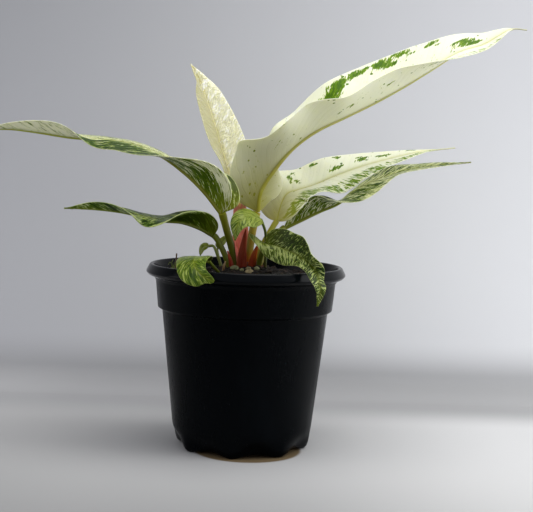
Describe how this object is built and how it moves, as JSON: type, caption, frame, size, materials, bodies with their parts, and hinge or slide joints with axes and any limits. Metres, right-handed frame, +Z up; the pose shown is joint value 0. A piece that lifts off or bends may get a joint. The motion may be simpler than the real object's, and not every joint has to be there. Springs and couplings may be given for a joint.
{
  "type": "potted anthurium plant",
  "caption": "Young rosette aroid with long variegated, wavy strap leaves on stout stalks, rooted in mounded dark mix in a tapered black plastic nursery pot with a rolled rim and scalloped foot.",
  "frame": {"origin": "on the pot's axis, on the surface that the pot stands on", "axes": "+Z up along the pot's axis, +X the right of the front view, -Y the front"},
  "size_m": [0.3735, 0.1463, 0.2901],
  "materials": {
    "pot_plastic": "satin black, blow-moulded nursery pot",
    "potting_mix": "dark crumbly mix of bark and peat",
    "crown": "dull brown short stem",
    "petiole": "satin olive green",
    "leaf_cream": "satin cream white with green blotches",
    "leaf_green": "satin dark green with cream streaks",
    "leaf_young": "satin grey green with fine pale veins",
    "sheath_red": "papery red bract",
    "sheath_pink": "papery pink bract",
    "dry_litter": "dry brown litter",
    "pebble": "dull tan pebble",
    "moss": "curled yellow green shoots"
  },
  "bodies": {
    "root": {"pot": "pot_plastic", "petiole_a": "petiole", "petiole_b": "petiole", "petiole_c": "petiole", "petiole_d": "petiole", "petiole_e": "petiole", "petiole_f": "petiole", "petiole_g": "petiole", "petiole_h": "petiole", "petiole_i": "petiole", "petiole_j": "petiole", "petiole_k": "petiole", "twig": "dry_litter", "sheath_red": "sheath_red", "sheath_pink_left": "sheath_pink", "sheath_rose": "sheath_red", "sheath_orange": "sheath_red", "sheath_pink_tall": "sheath_pink", "sheath_dry": "dry_litter", "pebble_1": "pebble", "pebble_2": "pebble", "pebble_3": "pebble", "pebble_4": "pebble", "pebble_5": "pebble", "moss": "moss", "crown": "crown", "soil": "potting_mix", "blade_a": "leaf_green", "blade_b": "leaf_green", "blade_c": "leaf_cream", "blade_d": "leaf_cream", "blade_e": "leaf_cream", "blade_f": "leaf_green", "blade_g": "leaf_young", "blade_h": "leaf_green", "blade_i": "leaf_young", "blade_j": "leaf_young", "blade_k": "leaf_young"}
  },
  "joints": []
}
